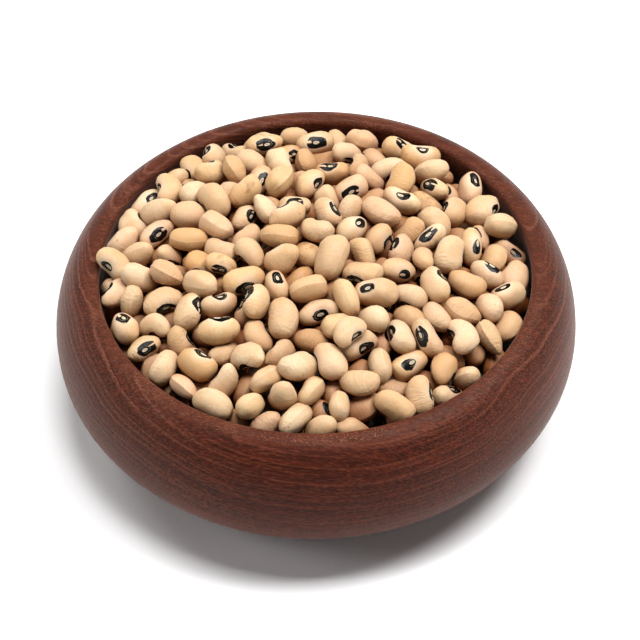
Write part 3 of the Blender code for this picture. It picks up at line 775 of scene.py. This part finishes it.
def dried_bean():
    """Cream skin with a dull shine, glossy where it is black."""
    made = bpy.data.materials.new("dried_bean")
    made.use_nodes = True
    tree = made.node_tree
    shader = tree.nodes["Principled BSDF"]
    inputs = {}
    for socket, name in (("On Bean", "on_bean"), ("Tone", "tone"), ("Draw", "drawn")):
        read = put(tree, "ShaderNodeAttribute", attribute_name=name)
        inputs[socket] = read.outputs["Vector" if name == "on_bean" else "Fac"]
    skin = tree.nodes.new("ShaderNodeGroup")
    skin.node_tree = bean_skin
    for socket, value in inputs.items():
        tree.links.new(value, skin.inputs[socket])
    shade = tree.nodes.new("ShaderNodeGroup")
    shade.node_tree = heap_shade
    place = put(tree, "ShaderNodeTexCoord").outputs["Object"]
    tree.links.new(place, shade.inputs["Place"])
    tree.links.new(skin.outputs["Colour"], shade.inputs["Colour"])
    tree.links.new(shade.outputs[0], shader.inputs["Base Color"])
    dull = fade(tree, skin.outputs["Eye"], 0.0, 1.0, 0.56, 0.24)
    dull = calc(tree, "ADD", dull, calc(tree, "MULTIPLY", skin.outputs["Scar"], 0.3))
    tree.links.new(dull, shader.inputs["Roughness"])
    shader.inputs["Specular IOR Level"].default_value = 0.24
    shader.inputs["Subsurface Weight"].default_value = 0.30
    shader.inputs["Subsurface Radius"].default_value = (1.0, 0.40, 0.15)
    shader.inputs["Subsurface Scale"].default_value = 0.0010
    inputs = {"Strength": 0.6, "Distance": 0.00018, "Height": skin.outputs["Relief"]}
    bump = put(tree, "ShaderNodeBump", inputs)
    tree.links.new(bump.outputs[0], shader.inputs["Normal"])
    return made


def heap_tree():
    """Puts one of the bean shapes on every point, turned and sized as the point says."""
    tree = bpy.data.node_groups.new("heap_of_beans", "GeometryNodeTree")
    tree.interface.new_socket("Geometry", in_out="INPUT", socket_type="NodeSocketGeometry")
    tree.interface.new_socket("Bean Shapes", in_out="INPUT", socket_type="NodeSocketCollection")
    tree.interface.new_socket("Skin", in_out="INPUT", socket_type="NodeSocketMaterial")
    for name in ("Bean Size", "Lumps Per Metre", "Lump Height"):
        tree.interface.new_socket(name, in_out="INPUT", socket_type="NodeSocketFloat")
    tree.interface.new_socket("Geometry", in_out="OUTPUT", socket_type="NodeSocketGeometry")
    given = put(tree, "NodeGroupInput").outputs

    def told(name, kind):
        """What each point says under a name."""
        inputs = {"Name": name}
        return put(tree, "GeometryNodeInputNamedAttribute", inputs, data_type=kind).outputs[0]

    inputs = {
        "Collection": given["Bean Shapes"],
        "Separate Children": True,
        "Reset Children": True,
    }
    shapes = put(tree, "GeometryNodeCollectionInfo", inputs)
    kind = told("kind", "INT")
    rotation = put(tree, "FunctionNodeEulerToRotation", {0: told("turn", "FLOAT_VECTOR")})
    sizes = told("sizes", "FLOAT_VECTOR")
    scale = put(tree, "ShaderNodeVectorMath", {0: sizes}, operation="SCALE")
    tree.links.new(given["Bean Size"], scale.inputs["Scale"])
    inputs = {
        "Points": given["Geometry"],
        "Instance": shapes.outputs[0],
        "Pick Instance": True,
        "Instance Index": kind,
        "Rotation": rotation.outputs[0],
        "Scale": scale.outputs[0],
    }
    laid = put(tree, "GeometryNodeInstanceOnPoints", inputs)
    whole = put(tree, "GeometryNodeRealizeInstances", {0: laid.outputs[0]})
    spot = put(tree, "GeometryNodeInputPosition")
    lumps = put(tree, "ShaderNodeTexNoise", {"Vector": spot.outputs[0], "Detail": 1.0})
    tree.links.new(given["Lumps Per Metre"], lumps.inputs["Scale"])
    outwards = calc(tree, "SUBTRACT", lumps.outputs[0], 0.5)
    outwards = calc(tree, "MULTIPLY", outwards, given["Lump Height"])
    normal = put(tree, "GeometryNodeInputNormal")
    move = put(tree, "ShaderNodeVectorMath", {0: normal.outputs[0]}, operation="SCALE")
    tree.links.new(outwards, move.inputs["Scale"])
    uneven = put(tree, "GeometryNodeSetPosition", {0: whole.outputs[0], "Offset": move.outputs[0]})
    skinned = put(tree, "GeometryNodeSetMaterial", {"Geometry": uneven.outputs[0]})
    tree.links.new(given["Skin"], skinned.inputs["Material"])
    put(tree, "NodeGroupOutput", {0: skinned.outputs[0]})
    return tree


# The beans that can be seen between the others have their middles this far below the heap's
# top, or less
SEEN_DEPTH = 0.0095

centres, axes, sizes = lay_beans(np.random.default_rng(SEED))
level = dome(centres, HEAP_EDGE, HEAP_MIDDLE)
seen = np.nonzero(centres[:, 2] > level - SEEN_DEPTH)[0]
draw = np.random.default_rng(SEED + 1)

heap_points = bpy.data.meshes.new("heap_points")
heap_points.from_pydata(centres[seen].tolist(), [], [])
turns = [Matrix(axes[number].tolist()).to_euler()[:] for number in seen]
attributes = (
    ("kind", "INT", "value", draw.choice(len(BEAN_KINDS), len(seen), p=KIND_SHARES)),
    ("turn", "FLOAT_VECTOR", "vector", np.array(turns)),
    ("sizes", "FLOAT_VECTOR", "vector", sizes[seen]),
    ("tone", "FLOAT", "value", draw.uniform(0, 1, len(seen))),
    ("drawn", "FLOAT", "value", draw.uniform(0, 1, len(seen))),
)
for name, kind, field, values in attributes:
    made = heap_points.attributes.new(name, kind, "POINT")
    made.data.foreach_set(field, values.ravel())

bean_shapes = bpy.data.collections.new("bean_shapes")
for number, kind in enumerate(BEAN_KINDS):
    bean_shapes.objects.link(bean_shape(number, kind))

points = bpy.data.objects.new("heap_points", heap_points)
bpy.context.scene.collection.objects.link(points)
growing = points.modifiers.new("heap", "NODES")
growing.node_group = heap_tree()
heap_inputs = {
    "Bean Shapes": bean_shapes,
    "Skin": dried_bean(),
    "Bean Size": 1.0,
    "Lumps Per Metre": 260.0,
    "Lump Height": 0.0008,
}
for socket in growing.node_group.interface.items_tree:
    if socket.in_out == "INPUT" and socket.name in heap_inputs:
        growing[socket.identifier] = heap_inputs[socket.name]
graph = bpy.context.evaluated_depsgraph_get()
grown = bpy.data.meshes.new_from_object(points.evaluated_get(graph))
grown.name = "laid_beans"
heap = bpy.data.objects.new("laid_beans", grown)
bpy.context.scene.collection.objects.link(heap)
bpy.data.objects.remove(points, do_unlink=True)
for shape in list(bean_shapes.objects):
    bpy.data.objects.remove(shape, do_unlink=True)
bpy.data.collections.remove(bean_shapes)
print(len(seen), "beans", sum(len(face.vertices) - 2 for face in heap.data.polygons), "triangles")
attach(heap, "root")
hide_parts("beans")

# The core: the beans further down, which nothing shows one by one. They fill the hollow, and
# those that show lie on them. It is a plain solid with uneven skin, darkened as painted shade.

CORE_EDGE = 0.0305
CORE_MIDDLE = 0.0410
CORE_RINGS = 12
CORE_GAP = 0.0003
SHADED_CORE_PALE = colour(120, 78, 44)
SHADED_CORE_DARK = colour(40, 20, 9)
LUMPS_PER_METRE = 150.0


def shaded_beans():
    """The beans' colours darkened as painted shade, as deep between them, and mottled."""
    made = bpy.data.materials.new("shaded_beans")
    made.use_nodes = True
    tree = made.node_tree
    shader = tree.nodes["Principled BSDF"]
    place = put(tree, "ShaderNodeTexCoord").outputs["Object"]
    lumps = put(tree, "ShaderNodeTexVoronoi", {"Vector": place, "Scale": LUMPS_PER_METRE})
    apart = lumps.outputs["Distance"]
    base = tint(tree, fade(tree, apart, 0.2, 0.7), SHADED_CORE_PALE, SHADED_CORE_DARK)
    tree.links.new(base, shader.inputs["Base Color"])
    shader.inputs["Roughness"].default_value = 0.6
    inputs = {"Strength": 1.0, "Distance": 0.001, "Height": calc(tree, "MULTIPLY", apart, -1.0)}
    bump = put(tree, "ShaderNodeBump", inputs)
    tree.links.new(bump.outputs[0], shader.inputs["Normal"])
    return made


core_top = [(MOUTH_RADIUS * ring / CORE_RINGS, CORE_EDGE) for ring in range(CORE_RINGS + 1)]
core_side = [point for point in hollow_side(CORE_GAP) if point[1] <= BELLY_HEIGHT]
core = turned_piece("bean_core", core_top + core_side[::-1])
for vert in core.data.vertices:
    if vert.co.z > BELLY_HEIGHT + CORE_GAP:
        vert.co.z = dome(np.array(vert.co), CORE_EDGE, CORE_MIDDLE)
core.data.materials.append(shaded_beans())
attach(core, "root")
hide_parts("beans")

# The studio: a white sweep to stand on and six soft square lights. The strong ones stand high
# at the right and straight above, and weak ones at the left, low at the right front and behind
# on both sides. The camera looks down at the angle of the photograph.

FLOOR_SIDE = 4.0
CAMERA_ELEVATION = math.radians(45.57)
CAMERA_DISTANCE = 0.600
CAMERA_LENS = 137.4
CAMERA_ROLL = math.radians(1.0)
AIM_RIGHT = 0.00120
AIM_DOWN = 0.01314

white = bpy.data.materials.new("white_sweep")
white.use_nodes = True
white_shader = white.node_tree.nodes["Principled BSDF"]
white_shader.inputs["Base Color"].default_value = (0.95, 0.95, 0.95, 1)
white_shader.inputs["Roughness"].default_value = 0.9
sweep = bpy.data.meshes.new("sweep")
half = FLOOR_SIDE / 2
corners = [(-half, -half, 0), (half, -half, 0), (half, half, 0), (-half, half, 0)]
sweep.from_pydata(corners, [], [(0, 1, 2, 3)])
sweep.materials.append(white)
floor = bpy.data.objects.new("sweep", sweep)
bpy.context.scene.collection.objects.link(floor)


def soft_light(name, place, side, power):
    """A square soft light that faces the bowl."""
    light = bpy.data.lights.new(name, "AREA")
    light.size = side
    light.energy = power
    lamp = bpy.data.objects.new(name, light)
    lamp.location = place
    to_bowl = Vector((0, 0, BELLY_HEIGHT)) - lamp.location
    lamp.rotation_euler = to_bowl.to_track_quat("-Z", "Y").to_euler()
    lamp.visible_camera = False
    bpy.context.scene.collection.objects.link(lamp)


# Each light: where it stands round the bowl and how high, in degrees, its side and its strength
LIGHT_DISTANCE = 1.0
for name, azimuth, elevation, side, strength in (
    ("right_light", 9, 65, 0.34, 2.85),
    ("top_light", 82, 89, 0.32, 2.32),
    ("back_left_light", 140, 42, 0.36, 0.8),
    ("back_right_light", 45, 50, 0.36, 0.5),
    ("left_light", 192, 34, 0.36, 0.66),
    ("right_fill", 332, 24, 0.36, 0.28),
):
    around, over = math.radians(azimuth), math.radians(elevation)
    way = (math.cos(over) * math.cos(around), math.cos(over) * math.sin(around), math.sin(over))
    place = Vector(way) * LIGHT_DISTANCE
    soft_light(name, place, side, strength * math.pi * LIGHT_DISTANCE**2)

world = bpy.data.worlds.new("studio")
world.use_nodes = True
background = world.node_tree.nodes["Background"]
background.inputs["Color"].default_value = (1, 1, 1, 1)
background.inputs["Strength"].default_value = 0.06
bpy.context.scene.world = world
bpy.context.scene.view_settings.view_transform = "Standard"

right = Vector((1, 0, 0))
up = Vector((0, math.sin(CAMERA_ELEVATION), math.cos(CAMERA_ELEVATION)))
rim_centre = Vector((0, 0, BOWL_HEIGHT))
place = rim_centre + right.cross(up) * CAMERA_DISTANCE
rolled_right = right * math.cos(CAMERA_ROLL) - up * math.sin(CAMERA_ROLL)
rolled_up = right * math.sin(CAMERA_ROLL) + up * math.cos(CAMERA_ROLL)
backwards = (place - rim_centre - rolled_right * AIM_RIGHT + rolled_up * AIM_DOWN).normalized()
rolled_right = (rolled_right - backwards * rolled_right.dot(backwards)).normalized()
camera = bpy.data.objects.new("camera", bpy.data.cameras.new("camera"))
camera.data.lens = CAMERA_LENS
turned = Matrix((rolled_right, backwards.cross(rolled_right), backwards)).transposed()
camera.matrix_world = Matrix.Translation(place) @ turned.to_4x4()
bpy.context.scene.collection.objects.link(camera)
bpy.context.scene.camera = camera
